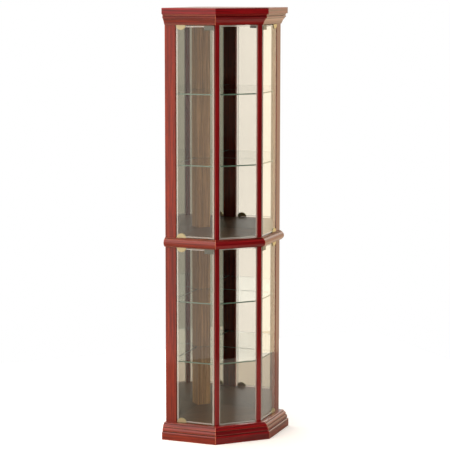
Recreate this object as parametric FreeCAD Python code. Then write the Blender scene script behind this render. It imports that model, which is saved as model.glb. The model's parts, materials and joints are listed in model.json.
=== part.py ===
import FreeCAD, Part
import math
import os

# Corner curio cabinet, millimetres.  +Z is up, the front faces -Y, and +X is the viewer's right.
# The plan is a corner with its tip cut off: two walls at 90 degrees, a side facet square to each
# wall, and a front facet between the two side facets.  Everything on the left has a mirror image
# on the right.  The origin is the centre of the overall box, on the floor.

# ---- overall sizes ----
cabinet_height = 1803.0
side_width = 224.0            # side facet, from the wall to the front corner
front_width = 210.0           # front facet, from corner to corner
tip_cut = 28.0                # how far the corner between the walls is cut back

# ---- heights of the horizontal bands ----
base_height = 68.5            # floor to the top of the base moulding
waist_centre = 835.0          # joint between the lower and the upper compartment
crown_height = 69.0           # underside of the upper ceiling to the very top
board_thickness = 19.0
top_thickness = 26.0

# ---- how far the mouldings stand out from the facets ----
top_projection = 31.5
crown_projection = 24.0
waist_projection = 20.0
base_projection = 45.0

# ---- posts, rails and back ----
wall_post_face = 47.0         # width on the side facet
wall_post_thickness = 19.0
front_post_size = 18.5
post_edge_radius = 1.5
rail_thickness = 18.0
back_inset = 12.0             # from the wall to the back panel
back_panel_thickness = 3.0
back_groove_depth = 8.0       # how far the back panel laps into its post
mirror_thickness = 3.0
strip_face = 60.0             # width seen between the mirrors, across the cut corner
strip_thickness = 11.0

# ---- glass ----
door_thickness = 5.0
pane_thickness = 4.0
shelf_thickness = 5.0
bevel_width = 6.0
bevel_depth = 1.0
pane_setback = 7.0            # front pane behind the front of the posts
groove_depth = 5.0            # of the groove in each front post
pane_top_gap = 1.0
door_end_gap = 3.5            # above and below each door
door_wall_gap = 4.5           # between a door and its wall post
door_post_gap = 1.2           # between a door's free edge and the front post
shelf_gap = 2.0               # around each shelf
shelf_corner_radius = 50.0
shelf_tops = {"upper": (1158.0, 1453.0), "lower": (329.0, 584.0)}
rest_gap = 0.3                # between a shelf and its pins

# ---- door pivots ----
clamp_length = 42.0
clamp_height = 17.0
clamp_plate = 2.0
clamp_web = 1.8
pivot_from_edge = 9.0
pin_radius = 2.0
pin_length = 9.0              # above the clamp's web
pin_clearance = 0.05
bush_radius = 3.5
bush_depth = 9.0
bush_cover = 0.8              # wood left between a bush and the edge of its board
bush_flange_radius = 5.0
bush_flange = 1.2
clamp_screw_radius = 2.0
clamp_screw_proud = 1.0
clamp_screw_spacing = 18.0
screw_slot_width = 0.8
screw_slot_depth = 0.7

# ---- touch latches ----
striker_width = 40.0
striker_height = 18.0
striker_plate = 1.0
striker_from_edge = 2.0
latch_length = 48.0
latch_width = 16.0
latch_height = 14.0
latch_axis_drop = 7.5         # plunger axis below the ceiling
latch_ear_width = 30.0
latch_ear_length = 14.0
latch_ear_thickness = 3.0
latch_ear_position = 26.0     # middle of the ear behind the latch's face
plunger_radius = 4.0
plunger_travel = 2.5
plunger_reach = 8.0           # from the latch's face to the plunger's tip
plunger_gap = 0.3             # between the tip and the striker
bore_end_wall = 6.0
spring_length = 11.0
spring_radius = 2.6
spring_wire_radius = 0.4
spring_pitch = 2.2
latch_screw_radius = 1.5
latch_screw_length = 14.0
screw_head_radius = 3.0
screw_head_height = 1.8

# ---- shelf pins ----
peg_radius = 2.5
peg_collar_radius = 3.5
peg_collar = 1.0
peg_shank = 8.0
peg_nose = 9.0
strip_peg_spacing = 30.0

# ---- derived plan ----
R2 = math.sqrt(0.5)
front_y = -(front_width / 2.0 + side_width / R2)      # front facet, seen from the walls' corner
wall_x = front_width / 2.0 + side_width * R2          # where a side facet meets its wall
origin_y = (front_y - base_projection - tip_cut) / 2.0
panel_face = back_inset + back_panel_thickness        # from the wall
mirror_face = panel_face + mirror_thickness           # from the wall
strip_front_y = -(strip_face / 2.0 + mirror_face / R2)
strip_back_y = strip_front_y + strip_thickness

# ---- derived heights ----
waist_bottom = waist_centre - board_thickness
waist_top = waist_centre + board_thickness
ceiling = cabinet_height - crown_height
top_underside = cabinet_height - top_thickness
compartments = {"lower": (base_height, waist_bottom), "upper": (waist_top, ceiling)}

# ---- derived door places, in a side facet's own u (from the wall) and v (inwards) ----
door_start = wall_post_face + door_wall_gap
door_end = side_width - door_thickness - door_post_gap / R2
pivot_u = door_start + pivot_from_edge
pivot_v = bush_radius + bush_cover
striker_u = door_end - striker_from_edge - striker_width / 2.0
plunger_tip_v = door_thickness + striker_plate + plunger_gap
latch_face_v = plunger_tip_v + plunger_reach
bore_radius = plunger_radius + pin_clearance
bore_end_v = latch_face_v + latch_length - bore_end_wall
plunger_end_v = bore_end_v - spring_length - plunger_travel - plunger_gap

BIG = 4000.0


def box(x0, x1, y0, y1, z0, z1):
    """Box between two opposite corners."""
    return Part.makeBox(x1 - x0, y1 - y0, z1 - z0, FreeCAD.Vector(x0, y0, z0))


def rod(radius, start, end):
    """Round rod from one point to another."""
    a, b = FreeCAD.Vector(*start), FreeCAD.Vector(*end)
    return Part.makeCylinder(radius, (b - a).Length, a, b - a)


def prism(points, z0, z1):
    """Upright prism over a plan outline."""
    corners = [FreeCAD.Vector(x, y, z0) for x, y in points]
    face = Part.Face(Part.makePolygon(corners + corners[:1]))
    return face.extrude(FreeCAD.Vector(0, 0, z1 - z0))


def to_left(shape):
    """Move a shape from a facet's u, v, z into the cabinet, on the left side."""
    moved = shape.copy()
    moved.rotate(FreeCAD.Vector(0, 0, 0), FreeCAD.Vector(0, 0, 1), -45)
    moved.translate(FreeCAD.Vector(-wall_x, -wall_x, 0))
    return moved


def mirrored(shape):
    """The same piece on the other side of the cabinet."""
    return shape.mirror(FreeCAD.Vector(0, 0, 0), FreeCAD.Vector(1, 0, 0))


def save(name, *solids):
    """Write one node, moved so that the origin is the centre of the overall box."""
    shape = Part.makeCompound(list(solids)) if len(solids) > 1 else solids[0].copy()
    shape.translate(FreeCAD.Vector(0, -origin_y, 0))
    shape.exportStep("parts/" + name + ".step")


def save_pair(name, shape):
    """Write a piece and its mirror image as two nodes."""
    save(name + "_left", shape)
    save(name + "_right", mirrored(shape))


def upright_edges(shape, *places):
    """The vertical edges that stand at the given plan points."""
    found = []
    for edge in shape.Edges:
        a, b = edge.Vertexes[0].Point, edge.Vertexes[-1].Point
        if abs(a.z - b.z) > 1 and math.hypot(a.x - b.x, a.y - b.y) < 0.01:
            if any(math.hypot(a.x - x, a.y - y) < 0.01 for x, y in places):
                found.append(edge)
    return found


def plan(offset, wall_inset, back_y):
    """Cabinet outline with its facets moved out, its walls moved in and its tip cut at back_y."""
    slant = math.tan(math.radians(22.5)) * offset
    corner = (-front_width / 2.0 - slant, front_y - offset)
    reach = wall_inset / R2
    side = corner[0] + corner[1]                       # x + y along the left facet
    wall = ((side + reach) / 2.0, (side - reach) / 2.0)
    back = (back_y + reach, back_y)
    left = [back, wall, corner]
    return left + [(-x, y) for x, y in reversed(left)]


# ---- posts ----
def wall_post_blank():
    """Wall post before its edges are eased, its groove is cut and its peg holes are drilled."""
    return box(0, wall_post_face, 0, wall_post_thickness, 0, top_underside)


def front_post_blank():
    """Left front post before its edges are eased and it is grooved and drilled."""
    x0 = -front_width / 2.0
    return box(x0, x0 + front_post_size, front_y, front_y + front_post_size, 0, top_underside)


def wall_post():
    """Left wall post with the groove that holds the back panel."""
    post = wall_post_blank()
    arrises = [(wall_post_face, 0), (wall_post_face, wall_post_thickness)]
    post = post.makeFillet(post_edge_radius, upright_edges(post, *arrises))
    groove = box(back_inset, panel_face, wall_post_thickness - back_groove_depth,
                 wall_post_thickness, 0, top_underside)
    return to_left(post.cut(groove)).cut(Part.makeCompound(peg_holes()))


def front_post():
    """Left front post with the groove that holds the front panes."""
    x0 = -front_width / 2.0
    x1 = x0 + front_post_size
    post = front_post_blank()
    arrises = [(x0, front_y), (x1, front_y), (x0, front_y + front_post_size)]
    post = post.makeFillet(post_edge_radius, upright_edges(post, *arrises))
    groove_y = front_y + pane_setback
    for z0, z1 in compartments.values():
        groove = box(x1 - groove_depth, x1, groove_y, groove_y + pane_thickness, z0, z1)
        post = post.cut(groove)
    return post.cut(Part.makeCompound(peg_holes()))


# ---- boards, top and rails ----
def board(z0):
    """Horizontal board between the posts, its edges level with the facets."""
    outline = plan(0, panel_face, strip_front_y)
    shape = prism(outline, z0, z0 + board_thickness)
    post = to_left(wall_post_blank())
    return shape.cut([post, mirrored(post), front_post_blank(), mirrored(front_post_blank())])


def top_panel():
    """Thick top that overhangs the crown moulding, eased on the three facets and their corners."""
    outline = plan(top_projection, 0, -tip_cut)
    shape = prism(outline, top_underside, cabinet_height)
    outer = front_y - top_projection
    corners = [point for point in outline if abs(point[1] - outer) < 0.01]
    eased = upright_edges(shape, *corners)
    side = -wall_x * 2 - top_projection / R2
    for edge in shape.Edges:
        middle = edge.CenterOfMass
        on_front = abs(middle.y - outer) < 0.01
        on_side = abs(-abs(middle.x) + middle.y - side) < 0.01
        if edge.BoundBox.ZLength < 0.01 and (on_front or on_side):
            eased.append(edge)
    return shape.makeFillet(post_edge_radius, eased)


def wall_rail(z0, z1):
    """Rail along the left wall, between the wall post and the back strip."""
    rail = box(panel_face, panel_face + rail_thickness, wall_post_thickness, BIG, z0, z1)
    return to_left(rail).common(box(-BIG, BIG, -BIG, strip_front_y, z0, z1))


def base_side_rail(z1):
    """Rail behind the left base moulding, up to the side of the front post."""
    outline = [(wall_post_face, 0), (side_width, 0),
               (side_width - rail_thickness, rail_thickness), (wall_post_face, rail_thickness)]
    return to_left(prism(outline, 0, z1))


def base_front_rail(z1):
    """Rail behind the centre base moulding, between the front posts."""
    half = front_width / 2.0 - front_post_size
    return box(-half, half, front_y, front_y + rail_thickness, 0, z1)


# ---- back ----
def back_strip():
    """Board across the cut corner, wedged between the back panels."""
    reach = panel_face / R2
    outline = [(strip_front_y + reach, strip_front_y), (-strip_front_y - reach, strip_front_y),
               (-strip_back_y - reach, strip_back_y), (strip_back_y + reach, strip_back_y)]
    return prism(outline, 0, top_underside).cut(Part.makeCompound(peg_holes()))


def back_panel():
    """Left hardboard back, from the groove of the wall post to the back of the strip."""
    panel = box(back_inset, panel_face, wall_post_thickness - back_groove_depth, BIG,
                0, top_underside)
    return to_left(panel).common(box(-BIG, BIG, -BIG, strip_back_y, 0, top_underside))


def mirror_plate(z0, z1):
    """Left mirror of one compartment, stuck to the back panel."""
    plate = box(panel_face, mirror_face, wall_post_thickness, BIG, z0, z1)
    return to_left(plate).common(box(-BIG, BIG, -BIG, strip_front_y, z0, z1))


# ---- mouldings ----
def outline_face(start, *steps):
    """Closed section through a start point; a step is a point, or an arc's middle and end."""
    edges = []
    here = FreeCAD.Vector(start[0], 0, start[1])
    first = here
    for step in steps:
        points = [FreeCAD.Vector(p, 0, z) for p, z in step]
        if len(points) == 1:
            edges.append(Part.LineSegment(here, points[0]).toShape())
        else:
            edges.append(Part.Arc(here, points[0], points[1]).toShape())
        here = points[-1]
    edges.append(Part.LineSegment(here, first).toShape())
    return Part.Face(Part.Wire(edges))


def crown_section():
    """Crown: a small fillet, a shallow cove, a bead and a square fillet under the top."""
    z, p = ceiling, crown_projection
    return outline_face(
        (0, z), [(p - 20, z)], [(p - 20, z + 4)], [(p - 18, z + 4)],
        [(p - 13, z + 15.5), (p - 6, z + 23.5)], [(p - 6, z + 26.5)], [(p - 3.5, z + 26.5)],
        [(p - 0.3, z + 31), (p - 2.5, z + 35.5)], [(p - 2.5, z + 38)], [(p, z + 38)],
        [(p, top_underside)], [(0, top_underside)])


def waist_section():
    """Waist: a half-round nose with a narrow fillet above and below it."""
    z, p, h = waist_bottom, waist_projection, waist_top - waist_bottom
    return outline_face(
        (0, z), [(p - 10, z)], [(p - 10, z + 2.5)], [(p - 8, z + 2.5)],
        [(p, z + h / 2.0 - 2), (p - 8, z + h - 6.5)], [(p - 8, z + h - 4)],
        [(p - 13, z + h - 4)], [(p - 13, z + h)], [(0, z + h)])


def base_section():
    """Base: a plain plinth with a rounded top, then three rounded steps with grooves between."""
    p, h = base_projection, base_height
    return outline_face(
        (0, 0), [(p, 0)], [(p, h - 42)], [(p - 1.4, h - 37.3), (p - 5.5, h - 35)],
        [(p - 8.5, h - 35)], [(p - 8.5, h - 32.5)], [(p - 5.5, h - 32.5)],
        [(p - 6.5, h - 25), (p - 10, h - 18.5)], [(p - 13.5, h - 18.5)], [(p - 13.5, h - 16)],
        [(p - 12, h - 16)], [(p - 14.5, h - 9.8), (p - 19, h - 5.5)], [(p - 21.5, h - 5.5)],
        [(p - 21.5, h - 3.5)], [(p - 23, h - 1), (p - 27, h)], [(0, h)])


def moulding(section):
    """Left and centre lengths of a moulding, mitred at the front corner."""
    low, high = section.BoundBox.ZMin, section.BoundBox.ZMax
    slant = math.tan(math.radians(22.5)) * BIG
    corner = (-front_width / 2.0, front_y)
    far = (corner[0] - slant, corner[1] - BIG)
    wall = (-wall_x, -wall_x)
    side_zone = prism([wall, corner, far, (wall[0] - BIG * R2, wall[1] - BIG * R2)], low, high)
    front_zone = prism([corner, (-corner[0], corner[1]), (-far[0], far[1]), far], low, high)

    run = section.copy()                       # p along +X becomes the way out of the facet
    run.rotate(FreeCAD.Vector(0, 0, 0), FreeCAD.Vector(0, 0, 1), -90)
    run.translate(FreeCAD.Vector(-BIG, 0, 0))
    run = run.extrude(FreeCAD.Vector(2 * BIG, 0, 0))
    front = run.copy()
    front.translate(FreeCAD.Vector(0, front_y, 0))
    return to_left(run).common(side_zone), front.common(front_zone)


# ---- glass ----
def bevelled_glass(x0, x1, y0, y1, z0, z1, side_bevel):
    """Glass plate whose front face, at y0, is bevelled all round."""
    back = box(x0, x1, y0 + bevel_depth, y1, z0, z1)
    outer = [FreeCAD.Vector(x, y0 + bevel_depth, z)
             for x, z in ((x0, z0), (x1, z0), (x1, z1), (x0, z1))]
    inner = [FreeCAD.Vector(x, y0, z)
             for x, z in ((x0 + side_bevel, z0 + bevel_width), (x1 - side_bevel, z0 + bevel_width),
                          (x1 - side_bevel, z1 - bevel_width), (x0 + side_bevel, z1 - bevel_width))]
    loops = [Part.makePolygon(loop + loop[:1]) for loop in (outer, inner)]
    face = Part.makeLoft(loops, True, True)
    return back.fuse(face).removeSplitter()


def door_glass(z0, z1):
    """Glass of a left door."""
    glass = bevelled_glass(door_start, door_end, 0, door_thickness,
                           z0 + door_end_gap, z1 - door_end_gap, bevel_width)
    return to_left(glass)


def front_pane(z0, z1):
    """Fixed pane between the front posts, its sides in their grooves."""
    half = front_width / 2.0 - front_post_size + groove_depth
    y0 = front_y + pane_setback
    return bevelled_glass(-half, half, y0, y0 + pane_thickness, z0, z1 - pane_top_gap,
                          groove_depth + bevel_width)


def shelf(top):
    """Glass shelf that follows the facets, with its two front corners well rounded."""
    post_gap = max(wall_post_thickness, front_post_size) + shelf_gap
    outline = plan(-post_gap, mirror_face + shelf_gap, strip_front_y - shelf_gap)
    shape = prism(outline, top - shelf_thickness, top)
    corners = [p for p in outline if abs(p[1] - (front_y + post_gap)) < 0.01]
    return shape.makeFillet(shelf_corner_radius, upright_edges(shape, *corners))


# ---- shelf pegs ----
def peg_places():
    """Foot and direction of each peg on the left half, at every shelf."""
    places = []
    for tops in shelf_tops.values():
        for top in tops:
            z = top - shelf_thickness - rest_gap - peg_radius
            middle = (mirror_face + wall_post_face) / 2.0
            u, v = middle, wall_post_thickness
            places.append(((-wall_x + (u + v) * R2, -wall_x + (v - u) * R2, z), (R2, R2)))
            x = -front_width / 2.0 + front_post_size / 2.0
            places.append(((x, front_y + front_post_size, z), (0, 1)))
            places.append(((-strip_peg_spacing / 2.0, strip_front_y, z), (0, -1)))
    return places


def along(place, way, distance):
    """Point a distance along a level direction."""
    return (place[0] + way[0] * distance, place[1] + way[1] * distance, place[2])


def peg_holes():
    """Blind holes for the pegs, on both sides."""
    holes = [rod(peg_radius, foot, along(foot, way, -peg_shank)) for foot, way in peg_places()]
    return holes + [mirrored(hole) for hole in holes]


def pegs():
    """Pegs with a collar against the wood and a nose under the shelf."""
    made = []
    for foot, way in peg_places():
        peg = rod(peg_radius, along(foot, way, -peg_shank), along(foot, way, peg_collar + peg_nose))
        made.append(peg.fuse(rod(peg_collar_radius, foot, along(foot, way, peg_collar))))
    return made + [mirrored(peg) for peg in made]


# ---- door pivots, in u and v ----
def flipped(shape, z):
    """Turn a shape that hangs from a ceiling into the one that stands on a floor at z."""
    return shape.mirror(FreeCAD.Vector(0, 0, z), FreeCAD.Vector(0, 0, 1))


def top_clamp(edge_z):
    """Half-moon clamp over a door's top edge, with its pivot pin and screw holes."""
    u0, u1 = door_start, door_start + clamp_length
    v0, v1 = -clamp_plate, door_thickness + clamp_plate
    a = FreeCAD.Vector(u0, v0, edge_z)
    b = FreeCAD.Vector(u1, v0, edge_z)
    low = FreeCAD.Vector((u0 + u1) / 2.0, v0, edge_z - clamp_height)
    moon = Part.Face(Part.Wire([Part.Arc(a, low, b).toShape(), Part.LineSegment(b, a).toShape()]))
    clamp = moon.extrude(FreeCAD.Vector(0, v1 - v0, 0))
    clamp = clamp.cut(box(u0 - 1, u1 + 1, 0, door_thickness, edge_z - clamp_height - 1, edge_z))
    web = box(u0, u1, v0, v1, edge_z, edge_z + clamp_web)
    top = edge_z + clamp_web
    pin = rod(pin_radius, (pivot_u, pivot_v, edge_z), (pivot_u, pivot_v, top + pin_length))
    clamp = web.fuse([clamp, pin])
    for u in clamp_screw_places():
        z = edge_z - clamp_height / 2.0
        hole = rod(clamp_screw_radius, (u, door_thickness, z), (u, v1, z))
        clamp = clamp.cut(hole)
    return clamp


def clamp_screw_places():
    """The two screws of a clamp, along u."""
    middle = door_start + clamp_length / 2.0
    return [middle - clamp_screw_spacing / 2.0, middle + clamp_screw_spacing / 2.0]


def clamp_screws(edge_z):
    """Slotted grub screws that press the glass against a top clamp's outer plate."""
    made = []
    z = edge_z - clamp_height / 2.0
    end = door_thickness + clamp_plate + clamp_screw_proud
    for u in clamp_screw_places():
        screw = rod(clamp_screw_radius, (u, door_thickness, z), (u, end, z))
        slot = box(u - clamp_screw_radius - 1, u + clamp_screw_radius + 1,
                   end - screw_slot_depth, end + 1,
                   z - screw_slot_width / 2.0, z + screw_slot_width / 2.0)
        made.append(screw.cut(slot))
    return made


def bush_hole(z):
    """Blind hole in a ceiling at z for a pivot bush."""
    return rod(bush_radius, (pivot_u, pivot_v, z), (pivot_u, pivot_v, z + bush_depth))


def bush(z):
    """Flanged bush in a ceiling at z."""
    low = z - bush_flange
    shape = bush_hole(z).fuse(rod(bush_flange_radius, (pivot_u, pivot_v, low), (pivot_u, pivot_v, z)))
    return shape.cut(rod(pin_radius + pin_clearance, (pivot_u, pivot_v, low - 1),
                         (pivot_u, pivot_v, z + bush_depth)))


# ---- touch latches, in u and v, under a ceiling at z ----
def striker(edge_z):
    """Folded steel plate clipped over a door's top edge at its free corner."""
    u0, u1 = striker_u - striker_width / 2.0, striker_u + striker_width / 2.0
    outer = box(u0, u1, -striker_plate, door_thickness + striker_plate,
                edge_z - striker_height, edge_z + striker_plate)
    return outer.cut(box(u0, u1, 0, door_thickness, edge_z - striker_height, edge_z))


def latch_screw_places():
    """The two screws of a latch, as u and v."""
    half = (latch_width + latch_ear_width) / 4.0
    v = latch_face_v + latch_ear_position
    return [(striker_u - half, v), (striker_u + half, v)]


def latch_housing(z):
    """Latch body with its two screw ears and the bore for the plunger."""
    half, ear = latch_width / 2.0, latch_ear_width / 2.0
    middle = latch_face_v + latch_ear_position
    body = box(striker_u - half, striker_u + half, latch_face_v, latch_face_v + latch_length,
               z - latch_height, z)
    edges = [edge for edge in body.Edges if abs(edge.CenterOfMass.z - (z - latch_height)) < 0.01]
    body = body.makeChamfer(1.0, edges)
    ears = box(striker_u - ear, striker_u + ear, middle - latch_ear_length / 2.0,
               middle + latch_ear_length / 2.0, z - latch_ear_thickness, z)
    body = body.fuse(ears).removeSplitter()
    axis_z = z - latch_axis_drop
    body = body.cut(rod(bore_radius, (striker_u, latch_face_v - 1, axis_z),
                        (striker_u, bore_end_v, axis_z)))
    for u, v in latch_screw_places():
        body = body.cut(rod(latch_screw_radius, (u, v, z - latch_ear_thickness), (u, v, z)))
    return body


def latch_screw_holes(z):
    """Pilot holes in the ceiling board for a latch's screws."""
    depth = latch_screw_length - latch_ear_thickness
    return [rod(latch_screw_radius, (u, v, z), (u, v, z + depth)) for u, v in latch_screw_places()]


def latch_screws(z):
    """Pan-head screws of a latch."""
    made = []
    for u, v in latch_screw_places():
        head_z = z - latch_ear_thickness
        shank = rod(latch_screw_radius, (u, v, head_z), (u, v, head_z + latch_screw_length))
        head = rod(screw_head_radius, (u, v, head_z - screw_head_height), (u, v, head_z))
        slot = box(u - screw_head_radius - 1, u + screw_head_radius + 1,
                   v - screw_slot_width / 2.0, v + screw_slot_width / 2.0,
                   head_z - screw_head_height - 1, head_z - screw_head_height + screw_slot_depth)
        made.append(shank.fuse(head.cut(slot)))
    return made


def latch_plunger(z):
    """Magnet-tipped plunger."""
    axis_z = z - latch_axis_drop
    return rod(plunger_radius, (striker_u, plunger_tip_v, axis_z),
               (striker_u, plunger_end_v, axis_z))


def latch_spring(z):
    """Coil spring at the end of the bore, at its pressed length."""
    coil = Part.makeLongHelix(spring_pitch, spring_length - 2 * spring_wire_radius, spring_radius)
    start = FreeCAD.Vector(spring_radius, 0, 0)
    wire = Part.Wire(Part.makeCircle(spring_wire_radius, start, FreeCAD.Vector(0, 1, 0)))
    spring = Part.Wire(coil).makePipeShell([wire], True, True)
    spring.rotate(FreeCAD.Vector(0, 0, 0), FreeCAD.Vector(1, 0, 0), 90)
    spring.translate(FreeCAD.Vector(striker_u, bore_end_v - spring_wire_radius,
                                    z - latch_axis_drop))
    return spring


# ---- write the nodes ----
os.makedirs("parts", exist_ok=True)

floors = {"lower": base_height - board_thickness, "upper": waist_centre}
ceilings = {"lower": waist_bottom, "upper": ceiling}

for level, z0 in floors.items():
    surface = z0 + board_thickness
    holes = to_left(flipped(bush_hole(surface), surface))
    save(level + "_floor_board", board(z0).cut([holes, mirrored(holes)]))
for level, z0 in ceilings.items():
    holes = [to_left(hole) for hole in [bush_hole(z0)] + latch_screw_holes(z0)]
    save(level + "_ceiling_board", board(z0).cut(holes + [mirrored(hole) for hole in holes]))
save("top_panel", top_panel())

save_pair("wall_post", wall_post())
save_pair("front_post", front_post())
save("back_corner_strip", back_strip())
save_pair("back_panel", back_panel())

top_rail = wall_rail(ceiling + board_thickness, top_underside)
save("top_back_rails", top_rail, mirrored(top_rail))
rail_top = base_height - board_thickness
base_rail = wall_rail(0, rail_top)
save("base_back_rails", base_rail, mirrored(base_rail))
side_rail = base_side_rail(rail_top)
save("base_side_rails", side_rail, mirrored(side_rail))
save("base_front_rail", base_front_rail(rail_top))

for band, section in (("crown", crown_section()), ("waist", waist_section()),
                      ("base", base_section())):
    side, centre = moulding(section)
    save_pair(band + "_moulding", side)
    save(band + "_moulding_centre", centre)

bushes = []
housings = []
screws = []
springs = []
for level, (z0, z1) in compartments.items():
    door_top = z1 - door_end_gap
    door_middle = (z0 + z1) / 2.0
    clamp = top_clamp(door_top)
    grubs = clamp_screws(door_top)
    save_pair(level + "_mirror", mirror_plate(z0, z1))
    save(level + "_front_pane", front_pane(z0, z1))
    save_pair(level + "_door_glass", door_glass(z0, z1))
    save_pair(level + "_door_striker", to_left(striker(door_top)))
    save_pair(level + "_latch_plunger", to_left(latch_plunger(z1)))
    clamps = [to_left(clamp), to_left(flipped(clamp, door_middle))]
    grubs = [to_left(s) for s in grubs] + [to_left(flipped(s, door_middle)) for s in grubs]
    for side, place in (("left", lambda s: s), ("right", mirrored)):
        save(level + "_door_clamps_" + side, *[place(s) for s in clamps])
        save(level + "_clamp_screws_" + side, *[place(s) for s in grubs])
    for top in shelf_tops[level]:
        which = "high" if top == max(shelf_tops[level]) else "low"
        save(level + "_shelf_" + which, shelf(top))
    bushes += [to_left(bush(z1)), to_left(flipped(bush(z1), door_middle))]
    housings.append(to_left(latch_housing(z1)))
    screws += [to_left(s) for s in latch_screws(z1)]
    springs.append(to_left(latch_spring(z1)))

for name, group in (("pivot_bushes", bushes), ("latch_housings", housings),
                    ("latch_screws", screws), ("latch_springs", springs)):
    save(name, *group, *[mirrored(s) for s in group])
save("shelf_pegs", *pegs())
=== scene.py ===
# %% [markdown]
# # A corner curio cabinet
#
# The cabinet stands in the corner of a room. Its wood is stained cherry under gloss lacquer, its
# doors and shelves are plain glass, and its two back walls are mirrors. Nearly all its shapes come
# finished from the frame, so this lesson is about surfaces and light, and one set of new pieces.

import json
import math

import bpy
import numpy as np
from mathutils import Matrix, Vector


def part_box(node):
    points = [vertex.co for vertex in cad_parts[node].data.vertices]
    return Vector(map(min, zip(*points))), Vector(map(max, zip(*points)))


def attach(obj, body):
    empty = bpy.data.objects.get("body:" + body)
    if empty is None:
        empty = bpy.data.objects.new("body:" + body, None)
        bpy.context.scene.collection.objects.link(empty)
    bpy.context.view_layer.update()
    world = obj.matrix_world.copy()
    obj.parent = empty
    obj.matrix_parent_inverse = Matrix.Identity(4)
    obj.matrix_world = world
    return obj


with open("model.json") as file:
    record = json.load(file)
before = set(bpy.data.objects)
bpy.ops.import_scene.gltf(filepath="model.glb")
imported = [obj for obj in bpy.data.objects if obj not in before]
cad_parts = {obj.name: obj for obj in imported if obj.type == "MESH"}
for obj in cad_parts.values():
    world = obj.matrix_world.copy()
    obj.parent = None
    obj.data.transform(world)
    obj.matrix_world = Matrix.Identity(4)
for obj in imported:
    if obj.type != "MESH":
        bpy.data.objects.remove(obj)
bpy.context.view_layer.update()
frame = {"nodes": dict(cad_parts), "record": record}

# %% [markdown]
# ## Helpers
#
# Colours are written as the hex values that a paint chart gives. A renderer adds light, so it
# needs them linear: each channel is raised to about the power 2.2, with a straight foot. One
# helper adds a node of any kind, sets its values and joins its inputs, so that a material reads
# as a recipe.

# %% Colour and node helpers
MM = 0.001


def linear(code):
    """Linear RGBA of an sRGB hex colour such as "#7A2018"."""
    values = np.array([int(code[i:i + 2], 16) for i in (1, 3, 5)]) / 255.0
    foot = values / 12.92
    curve = ((values + 0.055) / 1.055) ** 2.4
    return (*np.where(values <= 0.04045, foot, curve).tolist(), 1.0)


def add(tree, kind, settings=None, stops=(), **inputs):
    """Add a node. settings are its own properties, and stops a colour ramp's (place, colour) pairs.

    Each input is a value, or a socket to join. Its name is the socket's name with _ for a space,
    or _0, _1 for the socket's number.
    """
    node = tree.nodes.new(kind)
    for name, value in (settings or {}).items():
        setattr(node, name, value)
    for _ in stops[2:]:
        node.color_ramp.elements.new(0.5)
    for number, (place, code) in enumerate(stops):
        element = node.color_ramp.elements[number]
        element.position = place
        element.color = linear(code)
    for name, value in inputs.items():
        number = name.lstrip("_")
        socket = node.inputs[int(number) if number.isdigit() else name.replace("_", " ")]
        if isinstance(value, bpy.types.NodeSocket):
            tree.links.new(value, socket)
        else:
            socket.default_value = value
    return node


MULTIPLY = {"data_type": "RGBA", "blend_type": "MULTIPLY"}      # a Mix node that darkens by a mask


def new_material(name):
    """Empty material: its name, its node tree and its output node."""
    material = bpy.data.materials.new(name)
    material.use_nodes = True
    tree = material.node_tree
    tree.nodes.clear()
    return material, tree, tree.nodes.new("ShaderNodeOutputMaterial")


def finish_material(tree, output, shader):
    """Join the last shader to the output."""
    tree.links.new(shader.outputs[0], output.inputs["Surface"])


print("red-brown in linear light:", [round(c, 3) for c in linear("#7A2018")])

# %% [markdown]
# ## Stained cherry under gloss lacquer
#
# Cherry is a close-grained wood: long soft streaks, short fine pores and hardly any figure. It is
# stained red, its pores take more stain and go dark, and a clear gloss lacquer lies over all. A
# picture of wood would need an image file, so the grain is three noises instead, each drawn out
# along the piece. Every piece is cut along its own length, so the same recipe is turned to the
# direction of each one, and a broad panel wears bands of veneer along its edges.

# %% Grain that follows its piece
STREAK = (420 * MM, 9 * MM)          # length and width of a soft streak
FIBRE = (110 * MM, 2.2 * MM)         # fine fibre, drawn coarser than the real 0.3 mm to show
PORE = (26 * MM, 1.3 * MM)           # a filled pore, also drawn coarser than it is

UP = (0.0, math.radians(90), 0.0)
ACROSS = (0.0, 0.0, 0.0)
LEFT_FACET = (0.0, 0.0, math.radians(45))
RIGHT_FACET = (0.0, 0.0, math.radians(-45))
BANDED = "edge banded"               # a panel whose edges carry their own bands of veneer

SLANT = math.sqrt(0.5)
FACES_LEFT = (-SLANT, -SLANT, 0.0)
FACES_RIGHT = (SLANT, -SLANT, 0.0)
BAND_COSINE = 0.9                    # an edge this near to a slanting way wears its band


def drawn_out(tree, place, size, detail, seed):
    """Noise whose grains are size[0] long and size[1] wide, in the piece's own direction.

    The pattern is moved by seed times (1, 0.37, 0.61), so each seed has streaks of its own.
    """
    scaled = add(tree, "ShaderNodeMapping", _0=place, Location=(seed, seed * 0.37, seed * 0.61),
                 Scale=(1 / size[0], 1 / size[1], 1 / size[1]))
    return add(tree, "ShaderNodeTexNoise", _0=scaled.outputs[0], Scale=1.0, Detail=detail,
               Roughness=0.55).outputs[0]


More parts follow.
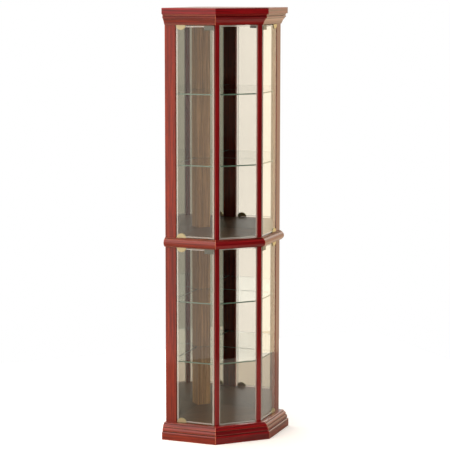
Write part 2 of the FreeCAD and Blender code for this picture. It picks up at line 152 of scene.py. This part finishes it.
def edge_banded(tree, where):
    """Coordinates that run across the panel, but along each slanting edge on its band of veneer.

    An edge faces a slanting way where the dot product of its normal with that way is near 1 or -1.
    """
    normal = add(tree, "ShaderNodeTexCoord").outputs["Normal"]
    place = where
    for facing, turn in ((FACES_LEFT, LEFT_FACET), (FACES_RIGHT, RIGHT_FACET)):
        dot = add(tree, "ShaderNodeVectorMath", {"operation": "DOT_PRODUCT"}, _0=normal,
                  _1=facing).outputs["Value"]
        cosine = add(tree, "ShaderNodeMath", {"operation": "ABSOLUTE"}, _0=dot).outputs[0]
        band = add(tree, "ShaderNodeMath", {"operation": "GREATER_THAN"}, _0=cosine,
                   _1=BAND_COSINE).outputs[0]
        turned = add(tree, "ShaderNodeMapping", _0=where, Rotation=turn).outputs[0]
        place = add(tree, "ShaderNodeMix", {"data_type": "VECTOR"}, _0=band, _4=place,
                    _5=turned).outputs[1]
    return place


print("streak to pore, widths in mm:", STREAK[1] / MM, PORE[1] / MM)

# %% [markdown]
# ## Painted shade in the corners, painted highlights on the edges
#
# Inner corners of a moulding are painted dark, a painted shade, and its outer edges in a lighter
# edge colour, a painted highlight; this makes the steps of a profile easy to read. Painting both by
# hand would take an image for each piece. Ambient occlusion finds them on any shape: traced
# outwards it falls in an inner corner, and traced inwards it falls at an edge.

# %% Painted shade in corners and painted highlights on edges
PAINTED_SHADE_REACH = 9 * MM                 # how far the painted shade reaches out of an inner corner
PAINTED_HIGHLIGHT_WIDTH = 2.5 * MM                 # width of the painted highlight along an edge, wider than the real one so that it shows
PAINTED_SHADE_DEPTH = 0.9                    # how far the painted shade darkens the wood
CORNER_RAYS = 6                      # rays traced at each point to find corners and edges


def with_painted_shade_and_highlight(tree, colour, edge):
    """Colour with painted shade in inner corners and painted highlight in edge colour on edges."""
    # painted shade: the wood is darkened where occlusion traced outwards finds an inner corner
    open_air = add(tree, "ShaderNodeAmbientOcclusion",
                   {"samples": CORNER_RAYS, "only_local": True}, Distance=PAINTED_SHADE_REACH).outputs["AO"]
    painted_shade = add(tree, "ShaderNodeValToRGB", stops=((0.35, "#4A2C28"), (0.90, "#FFFFFF")),
                _0=open_air).outputs["Color"]
    darkened = add(tree, "ShaderNodeMix", MULTIPLY, _0=PAINTED_SHADE_DEPTH, _6=colour,
                   _7=painted_shade).outputs[2]
    # painted highlight: the edge colour is laid where occlusion traced inwards finds an outer edge
    solid = add(tree, "ShaderNodeAmbientOcclusion",
                {"samples": CORNER_RAYS, "only_local": True, "inside": True},
                Distance=PAINTED_HIGHLIGHT_WIDTH).outputs["AO"]
    painted_highlight_mask = add(tree, "ShaderNodeValToRGB", stops=((0.45, "#FFFFFF"), (0.80, "#000000")),
                 _0=solid).outputs["Color"]
    return add(tree, "ShaderNodeMix", {"data_type": "RGBA"}, _0=painted_highlight_mask, _6=darkened,
               _7=linear(edge)).outputs[2]


print("glaze and painted_highlight, mm:", PAINTED_SHADE_REACH / MM, PAINTED_HIGHLIGHT_WIDTH / MM)

# %% [markdown]
# ## The woods
#
# The front facet's boards are stained a deep red. The sides' boards are the same cherry painted
# browner and lighter, a painted light for the warm light that falls on the sides. The strip in the
# back corner and the level boards are brown, with far less lacquer. One recipe makes them all from
# their colours and their gloss.

# %% Stained woods
FIBRE_DEPTH, PORE_DEPTH = 0.75, 0.6  # how far each darkens the wood
WOOD_DULL = (0.30, 0.48)             # roughness of the stained wood, along and between fibres
PEEL = 7 * MM                        # ripple of sprayed lacquer


def stained_wood(name, turn, stains_and_edge_highlight, gloss, seed):
    """Stained wood under lacquer, which gives deep colour under a sharp, thin shine.

    turn lays the grain along the piece. stains_and_edge_highlight are the light, middle and dark
    streaks and the colour of the painted highlight on the edges. gloss 1 is a full coat.
    """
    light, middle, dark, edge = stains_and_edge_highlight
    material, tree, output = new_material(name)
    where = add(tree, "ShaderNodeTexCoord").outputs["Object"]
    if turn == BANDED:
        place = edge_banded(tree, where)
    else:
        place = add(tree, "ShaderNodeMapping", _0=where, Rotation=turn).outputs[0]
    streak = drawn_out(tree, place, STREAK, 3.0, seed)
    fibre = drawn_out(tree, place, FIBRE, 4.0, seed + 3.1)
    pore = drawn_out(tree, place, PORE, 2.0, seed + 7.7)

    body = add(tree, "ShaderNodeValToRGB", stops=((0.30, dark), (0.52, middle), (0.75, light)),
               _0=streak).outputs["Color"]
    shade = add(tree, "ShaderNodeValToRGB", stops=((0.32, "#9A8A8A"), (0.62, "#FFFFFF")),
                _0=fibre).outputs["Color"]
    fine = add(tree, "ShaderNodeMix", MULTIPLY, _0=FIBRE_DEPTH, _6=body, _7=shade).outputs[2]
    holes = add(tree, "ShaderNodeValToRGB", stops=((0.30, "#6A5050"), (0.40, "#FFFFFF")),
                _0=pore).outputs["Color"]
    grained = add(tree, "ShaderNodeMix", MULTIPLY, _0=PORE_DEPTH, _6=fine, _7=holes).outputs[2]
    # painted shade in inner corners and a painted highlight along outer edges
    colour = with_painted_shade_and_highlight(tree, grained, edge)

    dull = add(tree, "ShaderNodeMapRange", Value=fibre, To_Min=WOOD_DULL[0],
               To_Max=WOOD_DULL[1]).outputs[0]
    relief = add(tree, "ShaderNodeBump", Strength=0.10, Distance=0.2 * MM, Height=pore)
    peel = add(tree, "ShaderNodeTexNoise", _0=where, Scale=1 / PEEL, Detail=1.0).outputs[0]
    skin = add(tree, "ShaderNodeBump", Strength=0.04, Distance=0.15 * MM, Height=peel)
    wood = add(tree, "ShaderNodeBsdfPrincipled", Base_Color=colour, Roughness=dull, IOR=1.45,
               Specular_IOR_Level=0.25, Coat_Weight=gloss, Coat_Roughness=0.07, Coat_IOR=1.5,
               Normal=relief.outputs[0], Coat_Normal=skin.outputs[0])
    finish_material(tree, output, wood)
    return material


# light, middle and dark stain, then the edge colour of the painted highlight
FRONT_CHERRY = ("#A61C1C", "#8C0E18", "#5A080E", "#B4523C")
# painted light: the side facets' cherry is painted browner and lighter for the warm light on the
# sides
SIDE_CHERRY_PAINTED_LIGHT = ("#A23C1E", "#8E2A18", "#6A1E12", "#C87A58")
BACK_STRIP = ("#E0B484", "#C89A68", "#9C764C", "#E0B484")
INSIDE = ("#745238", "#5C402A", "#44301F", "#745238")
FULL_GLOSS, SATIN, SEALED = 0.7, 0.3, 0.05      # weight of the lacquer coat
cherry_up = stained_wood("lacquered_cherry_upright", UP, FRONT_CHERRY, FULL_GLOSS, 1.0)
cherry_side_painted_light = stained_wood("lacquered_cherry_wall_post_painted_light", UP, SIDE_CHERRY_PAINTED_LIGHT, FULL_GLOSS, 1.0)
cherry_across = stained_wood("lacquered_cherry_across", ACROSS, FRONT_CHERRY, FULL_GLOSS, 2.0)
cherry_top = stained_wood("lacquered_cherry_top", BANDED, FRONT_CHERRY, FULL_GLOSS, 2.0)
cherry_left = stained_wood("lacquered_cherry_left_run_painted_light", LEFT_FACET, SIDE_CHERRY_PAINTED_LIGHT, FULL_GLOSS, 3.0)
cherry_right = stained_wood("lacquered_cherry_right_run_painted_light", RIGHT_FACET, SIDE_CHERRY_PAINTED_LIGHT, FULL_GLOSS,
                            4.0)
brown_strip = stained_wood("satin_brown_strip", UP, BACK_STRIP, SATIN, 6.0)
brown_board = stained_wood("satin_brown_board", ACROSS, INSIDE, SEALED, 7.0)
print("woods:", [material.name for material in bpy.data.materials])

# %% [markdown]
# ## Unfinished wood and hardboard
#
# The rails inside the base and top are plain poplar, sawn and left bare: pale, matt and a little
# green. The backs are hardboard, which is brown fibre pressed on a wire mesh, so its rear shows a
# fine weave of dents. Neither is polished, so they need no lacquer layer.

# %% Bare poplar and hardboard
SAW_MARK = (160 * MM, 3.5 * MM)
FIBRE_CLUMP = 5 * MM
MESH_PITCH = 2.4 * MM                # the real screen is finer, drawn coarse enough to show
WAVE_PERIOD = 0.314                  # a Wave texture of scale 1 repeats after 2 pi / 20


def bare_poplar():
    """Pale sawn wood with soft streaks and no finish."""
    material, tree, output = new_material("bare_poplar")
    where = add(tree, "ShaderNodeTexCoord").outputs["Object"]
    streak = drawn_out(tree, where, SAW_MARK, 5.0, 5.0)
    colour = add(tree, "ShaderNodeValToRGB", _0=streak,
                 stops=((0.3, "#B79C6E"), (0.55, "#D2BD92"), (0.75, "#DCCBA6"))).outputs["Color"]
    relief = add(tree, "ShaderNodeBump", Strength=0.3, Distance=0.3 * MM, Height=streak)
    wood = add(tree, "ShaderNodeBsdfPrincipled", Base_Color=colour, Roughness=0.72,
               Normal=relief.outputs[0])
    finish_material(tree, output, wood)
    return material


def pressed_hardboard():
    """Brown pressed fibre with the dents of the wire screen that it was pressed on."""
    material, tree, output = new_material("pressed_hardboard")
    where = add(tree, "ShaderNodeTexCoord").outputs["Object"]
    clump = add(tree, "ShaderNodeTexNoise", _0=where, Scale=1 / FIBRE_CLUMP, Detail=6.0,
                Roughness=0.7).outputs[0]
    cloud = add(tree, "ShaderNodeTexNoise", _0=where, Scale=6.0, Detail=3.0).outputs[0]
    mixed = add(tree, "ShaderNodeMath", {"operation": "MULTIPLY_ADD"}, _0=clump, _1=0.9,
                _2=cloud).outputs[0]
    colour = add(tree, "ShaderNodeValToRGB", _0=mixed,
                 stops=((0.45, "#644630"), (0.80, "#725139"), (1.0, "#7E5C42"))).outputs["Color"]
    dents = [add(tree, "ShaderNodeTexWave", {"bands_direction": way}, _0=where,
                 Scale=WAVE_PERIOD / MESH_PITCH, Distortion=0.4, Detail_Scale=2.0).outputs[1]
             for way in ("Z", "DIAGONAL")]
    weave = add(tree, "ShaderNodeMath", {"operation": "MULTIPLY"}, _0=dents[0],
                _1=dents[1]).outputs[0]
    relief = add(tree, "ShaderNodeBump", Strength=0.35, Distance=0.25 * MM, Height=weave)
    board = add(tree, "ShaderNodeBsdfPrincipled", Base_Color=colour, Roughness=0.62,
                Normal=relief.outputs[0])
    finish_material(tree, output, board)
    return material


poplar = bare_poplar()
hardboard = pressed_hardboard()
print("hardboard screen:", MESH_PITCH / MM, "mm")

# %% [markdown]
# ## Float glass
#
# Window glass is clear through its face and green along its edge, because iron in it takes up red
# light over a long path. So the green belongs in the volume, not on the surface. The doors have a
# polished bevel and ground edges, which catch the light as pale lines round each pane. A separate
# material for them would need its own faces, so the way that a point faces tells them apart.
#
# Sun and lamps shine through a real pane almost unhindered; to get that without tracing every
# bright spot, a shadow ray meets a plain see-through surface instead.

# %% Glass
GLASS_PASSES = (0.42, 0.82, 0.70, 1.0)   # how freely red, green and blue pass its body
GLASS_DENSITY = 4.0                  # per metre
ROLLER_WAVE = 90 * MM
FACE_COSINE = 0.999                  # above this it is a face, by the plate's own direction
EDGE_COSINE = 0.5                    # below this it is a ground edge, and between them a bevel
EDGE_CLEAR, EDGE_DULL = 0.30, 0.30   # what a ground edge lets through, and its roughness
POLISHED, GROUND = "#FDFFFD", "#F2F5EC"
SHELF_GROUND = "#7E9A8E"             # a shelf's edge is seen through more of its green


def float_glass(name, facing, ground):
    """Polished soda-lime plate with a green body, whose bevels and ground edges catch the light.

    facing is the plate's direction, and ground the colour of its edges. The dot product of a
    point's normal with facing is 1 or -1 on the two faces, 0 on the edges and a little short of 1
    on a bevel, so worked is 0 on a face, 1 on a bevel and 2 on an edge.
    """
    material, tree, output = new_material(name)
    place = add(tree, "ShaderNodeTexCoord")
    wave = add(tree, "ShaderNodeTexNoise", _0=place.outputs["Object"], Scale=1 / ROLLER_WAVE,
               Detail=0.0).outputs[0]
    ripple = add(tree, "ShaderNodeBump", Strength=0.02, Distance=0.1 * MM, Height=wave)
    dot = add(tree, "ShaderNodeVectorMath", {"operation": "DOT_PRODUCT"},
              _0=place.outputs["Normal"], _1=facing).outputs["Value"]
    cosine = add(tree, "ShaderNodeMath", {"operation": "ABSOLUTE"}, _0=dot).outputs[0]
    bevel = add(tree, "ShaderNodeMath", {"operation": "LESS_THAN"}, _0=cosine,
                _1=FACE_COSINE).outputs[0]
    edge = add(tree, "ShaderNodeMath", {"operation": "LESS_THAN"}, _0=cosine,
               _1=EDGE_COSINE).outputs[0]
    worked = add(tree, "ShaderNodeMath", {"operation": "ADD"}, _0=bevel, _1=edge).outputs[0]
    clear, dull = (add(tree, "ShaderNodeMapRange", Value=worked, From_Min=0.0, From_Max=2.0,
                       To_Min=on_face, To_Max=on_edge).outputs[0]
                   for on_face, on_edge in ((1.0, EDGE_CLEAR), (0.0, EDGE_DULL)))
    tint = add(tree, "ShaderNodeMix", {"data_type": "RGBA"}, _0=edge, _6=linear(POLISHED),
               _7=linear(ground)).outputs[2]
    glass = add(tree, "ShaderNodeBsdfPrincipled", Base_Color=tint, Roughness=dull,
                IOR=1.52, Transmission_Weight=clear, Normal=ripple.outputs[0])
    lit = add(tree, "ShaderNodeBsdfTransparent", _0=linear("#F6F9F6"))
    ray = add(tree, "ShaderNodeLightPath").outputs["Is Shadow Ray"]
    both = add(tree, "ShaderNodeMixShader", _0=ray, _1=glass.outputs[0], _2=lit.outputs[0])
    body = add(tree, "ShaderNodeVolumeAbsorption", Color=GLASS_PASSES, Density=GLASS_DENSITY)
    tree.links.new(body.outputs[0], output.inputs["Volume"])
    finish_material(tree, output, both)
    return material


left_glass = float_glass("float_glass_left_doors", FACES_LEFT, GROUND)
right_glass = float_glass("float_glass_right_doors", FACES_RIGHT, GROUND)
front_glass = float_glass("float_glass_front", (0.0, -1.0, 0.0), GROUND)
shelf_glass = float_glass("float_glass_shelves", (0.0, 0.0, 1.0), SHELF_GROUND)
print("red light left after 100 mm of glass:",
      round(math.exp(-(1 - GLASS_PASSES[0]) * GLASS_DENSITY * 0.1), 2))

# %% [markdown]
# ## Mirror
#
# A mirror is glass with silver behind it. Its glass could be a layer of its own over the metal,
# but at this scale nobody sees the step, so it is one very smooth pale metal with the faintest
# haze.

# %% Mirror
def silvered_mirror():
    """Mirror glass: silver under a slightly green sheet."""
    material, tree, output = new_material("silvered_mirror")
    where = add(tree, "ShaderNodeTexCoord").outputs["Object"]
    haze = add(tree, "ShaderNodeTexNoise", _0=where, Scale=4.0, Detail=4.0).outputs[0]
    dull = add(tree, "ShaderNodeMapRange", Value=haze, To_Min=0.0, To_Max=0.02).outputs[0]
    tint = add(tree, "ShaderNodeValToRGB", stops=((0.3, "#ECEEEC"), (0.7, "#F3F4F2")),
               _0=haze).outputs["Color"]
    silver = add(tree, "ShaderNodeBsdfPrincipled", Base_Color=tint, Metallic=1.0, Roughness=dull)
    finish_material(tree, output, silver)
    return material


mirror = silvered_mirror()
print("mirror:", mirror.name)

# %% [markdown]
# ## Metals and the latch's plastic
#
# The clamps are solid brass, polished and lacquered, and a little pale with age. Pegs, screws and
# strikers are steel with a zinc plate, which is greyer and duller than chrome. Each metal is one
# recipe with its own colour and its own scratches, because they differ in nothing else. The
# latches' housings are moulded plastic.

# %% Metals and plastic
SCRATCH = (9 * MM, 0.5 * MM)
SPARK_GRAIN = 0.9 * MM               # pits left in the mould by spark erosion


def worked_metal(name, bright, shaded, smooth, rough, seed):
    """Metal with hairline scratches: bright and shaded colours, smoothest and roughest polish."""
    material, tree, output = new_material(name)
    where = add(tree, "ShaderNodeTexCoord").outputs["Object"]
    lines = drawn_out(tree, where, SCRATCH, 3.0, seed)
    dull = add(tree, "ShaderNodeMapRange", Value=lines, From_Min=0.3, From_Max=0.7,
               To_Min=smooth, To_Max=rough)
    colour = add(tree, "ShaderNodeValToRGB", stops=((0.35, shaded), (0.6, bright)),
                 _0=lines).outputs["Color"]
    relief = add(tree, "ShaderNodeBump", Strength=0.05, Distance=0.05 * MM, Height=lines)
    metal = add(tree, "ShaderNodeBsdfPrincipled", Base_Color=colour, Metallic=1.0,
                Roughness=dull.outputs[0], Normal=relief.outputs[0])
    finish_material(tree, output, metal)
    return material


def latch_plastic():
    """Black moulded ABS with a fine spark-eroded grain, which keeps it from shining."""
    material, tree, output = new_material("black_abs")
    where = add(tree, "ShaderNodeTexCoord").outputs["Object"]
    grain = add(tree, "ShaderNodeTexNoise", _0=where, Scale=1 / SPARK_GRAIN, Detail=2.0).outputs[0]
    dull = add(tree, "ShaderNodeMapRange", Value=grain, To_Min=0.42, To_Max=0.58).outputs[0]
    relief = add(tree, "ShaderNodeBump", Strength=0.25, Distance=0.05 * MM, Height=grain)
    colour = add(tree, "ShaderNodeValToRGB", stops=((0.3, "#161616"), (0.7, "#222120")),
                 _0=grain).outputs["Color"]
    plastic = add(tree, "ShaderNodeBsdfPrincipled", Base_Color=colour, Roughness=dull,
                  IOR=1.5, Normal=relief.outputs[0])
    finish_material(tree, output, plastic)
    return material


brass = worked_metal("polished_brass", "#D2C9A4", "#B0A681", 0.32, 0.46, 1.5)
zinc = worked_metal("zinc_plated_steel", "#82867F", "#60645E", 0.30, 0.44, 2.5)
plastic = latch_plastic()
print("metals:", brass.name, zinc.name)

# %% [markdown]
# ## Dressing the pieces
#
# The record says what each node is made of, so a finish is looked up by its slot. Two slots need
# one thing more. Wood needs the way its grain runs: upright in the posts and the back strip, and
# along the length of each moulding. The back strip and the level boards are brown, not red. Glass
# needs the way its plate faces.

# %% Give each node its finish
FINISHES = {"plain_wood": poplar, "hardboard": hardboard, "mirror": mirror,
            "polished_brass": brass, "bright_steel": zinc, "black_plastic": plastic}


def cherry_for(node):
    """The wood for this node, with the side facets' painted light, whose grain runs along it."""
    if node == "top_panel":
        return cherry_top
    if "strip" in node:
        return brown_strip
    if "board" in node:
        return brown_board
    if "wall_post" in node:
        return cherry_side_painted_light
    if "post" in node:
        return cherry_up
    if node.endswith("moulding_left"):
        return cherry_left
    if node.endswith("moulding_right"):
        return cherry_right
    return cherry_across


def glass_for(node):
    """The glass that faces the way this plate does."""
    if "shelf" in node:
        return shelf_glass
    if "pane" in node:
        return front_glass
    return left_glass if node.endswith("left") else right_glass


for part in frame["record"]["subparts"]:
    node = frame["nodes"][part["node"]]
    slot = part["material_slot"]
    if slot == "stained_wood":
        finish = cherry_for(part["node"])
    elif slot == "clear_glass":
        finish = glass_for(part["node"])
    else:
        finish = FINISHES[slot]
    node.data.materials.clear()
    node.data.materials.append(finish)

# %% [markdown]
# ## Brads in the back
#
# The hardboard sits in the wall posts' grooves and is held elsewhere by small flat-headed brads.
# They could be copies of one small object, but one mesh of low domes for each panel is simpler to
# carry, and each dome is only rings that shrink towards its crown. One row goes down the back
# strip and one goes along each level board.

# %% Brad heads on the back panels
BRAD_RADIUS = 2.2 * MM
BRAD_RISE = 0.5 * MM
BRAD_SIDES = 12
BRAD_RINGS = 3
BRAD_PITCH = 150 * MM
BRAD_EDGE = 7 * MM                   # in from the panel's edge
BRADS_PER_BOARD = 4
BOARDS = ("lower_floor_board", "lower_ceiling_board", "upper_floor_board", "upper_ceiling_board")


def dome(centres, outward, along, up):
    """Mesh data of a low dome at each centre.

    A point is centre + r(t) (cos a, sin a) in the panel's plane + rise sin(t) outwards, with
    r(t) = radius cos(t), t from 0 at the rim to a right angle at the crown.
    """
    angle = np.arange(BRAD_SIDES) * 2 * np.pi / BRAD_SIDES
    height = np.arange(BRAD_RINGS) * (np.pi / 2) / BRAD_RINGS
    a, t = np.meshgrid(angle, height)
    ring = (BRAD_RADIUS * np.cos(t))[..., None] * (np.cos(a)[..., None] * along
                                                   + np.sin(a)[..., None] * up)
    ring = (ring + (BRAD_RISE * np.sin(t))[..., None] * outward).reshape(-1, 3)
    shape = np.vstack([ring, BRAD_RISE * outward, np.zeros(3)])
    count = len(shape)
    points = (centres[:, None, :] + shape[None]).reshape(-1, 3)

    side = np.arange(BRAD_SIDES)
    after = (side + 1) % BRAD_SIDES
    quads = [np.stack([r * BRAD_SIDES + side, r * BRAD_SIDES + after,
                       (r + 1) * BRAD_SIDES + after, (r + 1) * BRAD_SIDES + side], axis=1)
             for r in range(BRAD_RINGS - 1)]
    last = (BRAD_RINGS - 1) * BRAD_SIDES
    crown = np.stack([last + side, last + after, np.full(BRAD_SIDES, count - 2)], axis=1)
    foot = np.stack([after, side, np.full(BRAD_SIDES, count - 1)], axis=1)
    faces = [*np.vstack(quads).tolist(), *crown.tolist(), *foot.tolist()]
    everywhere = [[i + k * count for i in face] for k in range(len(centres)) for face in faces]
    return points, everywhere


def brads(side):
    """Brads of one back panel, on its rear face, into the back strip and the level boards.

    In plan the panel runs at 45 degrees from a square end in its post to an end cut straight
    across the cabinet's back, so its box is thickness / sqrt 2 wider than it is deep. A point on
    its rear face is start + reach x along + height x up.
    """
    low, high = (np.array(corner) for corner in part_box("back_panel_" + side))
    sign = -1.0 if side == "left" else 1.0
    thickness = (high[0] - low[0] - high[1] + low[1]) * math.sqrt(2)
    outward = np.array([sign, 1.0, 0.0]) / math.sqrt(2)
    along = np.array([-sign, 1.0, 0.0]) / math.sqrt(2)
    up = np.array([0.0, 0.0, 1.0])
    start = np.array([sign * max(-low[0], high[0]), low[1] + thickness / math.sqrt(2), 0.0])
    length = (high[1] - start[1]) * math.sqrt(2)
    count = int((high[2] - low[2]) / BRAD_PITCH)
    heights = np.linspace(low[2] + 2 * BRAD_EDGE, high[2] - 2 * BRAD_EDGE, count)
    strip_edge = start + along * (length - BRAD_EDGE)
    levels = [(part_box(board)[0][2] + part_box(board)[1][2]) / 2 for board in BOARDS]
    reaches = np.linspace(4 * BRAD_EDGE, length - 4 * BRAD_EDGE, BRADS_PER_BOARD)
    centres = np.array([strip_edge + up * z for z in heights]
                       + [start + along * reach + up * z for z in levels for reach in reaches])
    points, faces = dome(centres, outward, np.cross(up, outward), up)
    mesh = bpy.data.meshes.new("back_brads_" + side)
    mesh.from_pydata(points.tolist(), [], faces)
    mesh.polygons.foreach_set("use_smooth", np.ones(len(mesh.polygons), dtype=bool))
    mesh.materials.append(zinc)
    piece = bpy.data.objects.new("back_brads_" + side, mesh)
    bpy.context.collection.objects.link(piece)
    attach(piece, "carcass")
    print(piece.name, len(centres), "brads, panel", round(thickness / MM, 2), "mm thick")


brads("left")
brads("right")

# %% [markdown]
# ## Light
#
# A glass cabinet shows what stands round it, so the light is arranged by what each face mirrors.
# The left doors and the mirrors behind them look out to the left, so a broad soft card stands
# there. The lacquer of the right facet is seen at a low angle and shines with whatever is behind
# it on the right, so a warm card there washes it pale. A card overhead lights the tops of the
# mouldings. Two lamps, a warm one high on the left and a softer one in front, light the wood
# without being mirrored in it.

# %% Cards and lamps
CABINET_MIDDLE = (0.0, 0.0, 0.9)


def aim(thing, target):
    """Turn a light or camera at the origin of its own axes to face a point."""
    way = np.array(target) - np.array(thing.location)
    flat = math.hypot(way[0], way[1])
    thing.rotation_euler = (math.atan2(flat, -way[2]), 0.0, math.atan2(-way[0], way[1]))


def card(name, place, width, height, brightness, colour):
    """Soft rectangular light, aimed at the cabinet's middle.

    Its power is brightness x pi x area, so a bigger card is as bright.
    """
    lamp = bpy.data.lights.new(name, "AREA")
    lamp.shape = "RECTANGLE"
    lamp.size, lamp.size_y = width, height
    lamp.energy = brightness * math.pi * width * height
    lamp.color = linear(colour)[:3]
    thing = bpy.data.objects.new(name, lamp)
    thing.location = place
    aim(thing, CABINET_MIDDLE)
    bpy.context.collection.objects.link(thing)
    return thing


card("left_card", (-2.3, -1.0, 1.1), 2.4, 2.8, 0.50, "#FFECE4")
card("right_card", (2.3, 1.05, 1.1), 1.8, 2.8, 0.74, "#FFD994")
card("top_card", (-0.7, -0.1, 3.4), 3.6, 1.2, 1.8, "#FFE3C8")
key = card("left_key", (-3.0, -0.7, 2.5), 1.2, 1.6, 3.6, "#FFC890")
fill = card("front_fill", (-1.6, -4.0, 1.3), 1.6, 1.8, 5.0, "#FFE8CC")
for unseen in (key, fill):
    unseen.visible_glossy = False
    unseen.visible_transmission = False
print("lights:", len(bpy.data.lights))

# %% [markdown]
# ## The room and the floor
#
# The front facet looks into a dim end of the room and keeps its deep red, and so do its sloping
# mouldings, which look up at the ceiling. A white floor under the cabinet would fill the base and
# the mirrors with white. So the room and the floor have two looks each: white where they are seen
# directly or through glass, and a real room's tones where a surface reflects them or is lit by
# them. The number of bounces that a ray has made tells the two apart.

# %% Room and floor
DARK_WAY = (0.395, -0.91, -0.12)     # where the front facet's mirror image points
DARK_CEILING = (0.60, -0.35, 0.72)   # where its sloping mouldings' mirror image points
ROOM_STRENGTH = 1.5
FLOOR_GLOW = 0.22                    # keeps the paper white in the warm light
FLOOR_REACH = 1.6


def bounces(tree):
    """0 for what is seen directly or through glass, 1 or more for what a surface reflects."""
    ray = add(tree, "ShaderNodeLightPath").outputs
    return add(tree, "ShaderNodeMath", {"operation": "ADD"}, _0=ray["Diffuse Depth"],
               _1=ray["Glossy Depth"]).outputs[0]


def studio_world():
    """White where it is seen directly; for other rays, a bright room with dim parts.

    The dot product of a ray with a dark way is 1 straight into that dim part and 0 or less at
    right angles to it and behind it, so a ramp over it paints the room. One ramp is for the dim
    end, one for the dim ceiling and one, by height, for the walls and floor below. The three are
    multiplied.
    """
    world = bpy.data.worlds.new("studio")
    bpy.context.scene.world = world
    world.use_nodes = True
    tree = world.node_tree
    tree.nodes.clear()
    way = add(tree, "ShaderNodeTexCoord").outputs["Generated"]
    dim, shade = (add(tree, "ShaderNodeVectorMath", {"operation": "DOT_PRODUCT"}, _0=way,
                      _1=dark).outputs["Value"] for dark in (DARK_WAY, DARK_CEILING))
    height = add(tree, "ShaderNodeSeparateXYZ", _0=way).outputs[2]
    walls, low, ceiling = (
        add(tree, "ShaderNodeValToRGB", stops=stops, _0=value).outputs["Color"]
        for value, stops in (
            (dim, ((0.05, "#FFFFFF"), (0.45, "#CDCDC2"), (0.68, "#C0C2B8"), (0.90, "#221D1B"))),
            (height, ((0.12, "#B4A99E"), (0.35, "#FFFFFF"))),
            (shade, ((0.60, "#FFFFFF"), (0.85, "#4A403A")))))
    painted = walls
    for paint in (low, ceiling):
        painted = add(tree, "ShaderNodeMix", MULTIPLY, _0=1.0, _6=painted, _7=paint).outputs[2]
    room = add(tree, "ShaderNodeBackground", Color=painted, Strength=ROOM_STRENGTH)
    paper = add(tree, "ShaderNodeBackground", Color=linear("#FFFFFF"), Strength=1.0)
    both = add(tree, "ShaderNodeMixShader", _0=bounces(tree), _1=paper.outputs[0],
               _2=room.outputs[0])
    finish_material(tree, tree.nodes.new("ShaderNodeOutputWorld"), both)


def paper_floor():
    """Square of matt white paper under the cabinet, which looks dimmer in reflections."""
    mesh = bpy.data.meshes.new("floor")
    corners = FLOOR_REACH * np.array([[-1, -1, 0], [1, -1, 0], [1, 1, 0], [-1, 1, 0]])
    mesh.from_pydata(corners.tolist(), [], [(0, 1, 2, 3)])
    material, tree, output = new_material("floor_paper")
    paper = add(tree, "ShaderNodeBsdfDiffuse", Color=linear("#FDFDFD"))
    dim = add(tree, "ShaderNodeBsdfDiffuse", Color=linear("#BFB4A8"))
    glow = add(tree, "ShaderNodeEmission", Color=linear("#FFFFFF"), Strength=FLOOR_GLOW)
    bright = add(tree, "ShaderNodeAddShader", _0=paper.outputs[0], _1=glow.outputs[0])
    both = add(tree, "ShaderNodeMixShader", _0=bounces(tree), _1=bright.outputs[0],
               _2=dim.outputs[0])
    finish_material(tree, output, both)
    mesh.materials.append(material)
    floor = bpy.data.objects.new("floor", mesh)
    bpy.context.collection.objects.link(floor)


studio_world()
paper_floor()
bpy.context.scene.view_settings.view_transform = "Standard"
print("dim ends:", DARK_WAY, DARK_CEILING)

# %% [markdown]
# ## The camera
#
# The cabinet is looked at from a little above its top and from the left of its front, with a long
# lens, so that its uprights stay nearly upright. A trace of lens shift sets it in the frame.

# %% Camera
AZIMUTH = math.radians(23.38)        # to the left of straight in front
DISTANCE = 6.947                     # level distance to the front left post
EYE_HEIGHT = 1.9025
LOOK_DOWN = math.radians(7.62)
SENSOR = 36.0
LENS = 136.53

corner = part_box("front_post_left")[0]
lens = bpy.data.cameras.new("camera")
lens.sensor_width = SENSOR
lens.lens = LENS
lens.shift_x, lens.shift_y = 0.0214, -0.03
camera = bpy.data.objects.new("camera", lens)
camera.location = (corner[0] - DISTANCE * math.sin(AZIMUTH),
                   corner[1] - DISTANCE * math.cos(AZIMUTH), EYE_HEIGHT)
camera.rotation_euler = (math.radians(90) - LOOK_DOWN, 0.0, -AZIMUTH)
bpy.context.collection.objects.link(camera)
bpy.context.scene.camera = camera
print("camera at", [round(c, 3) for c in camera.location])
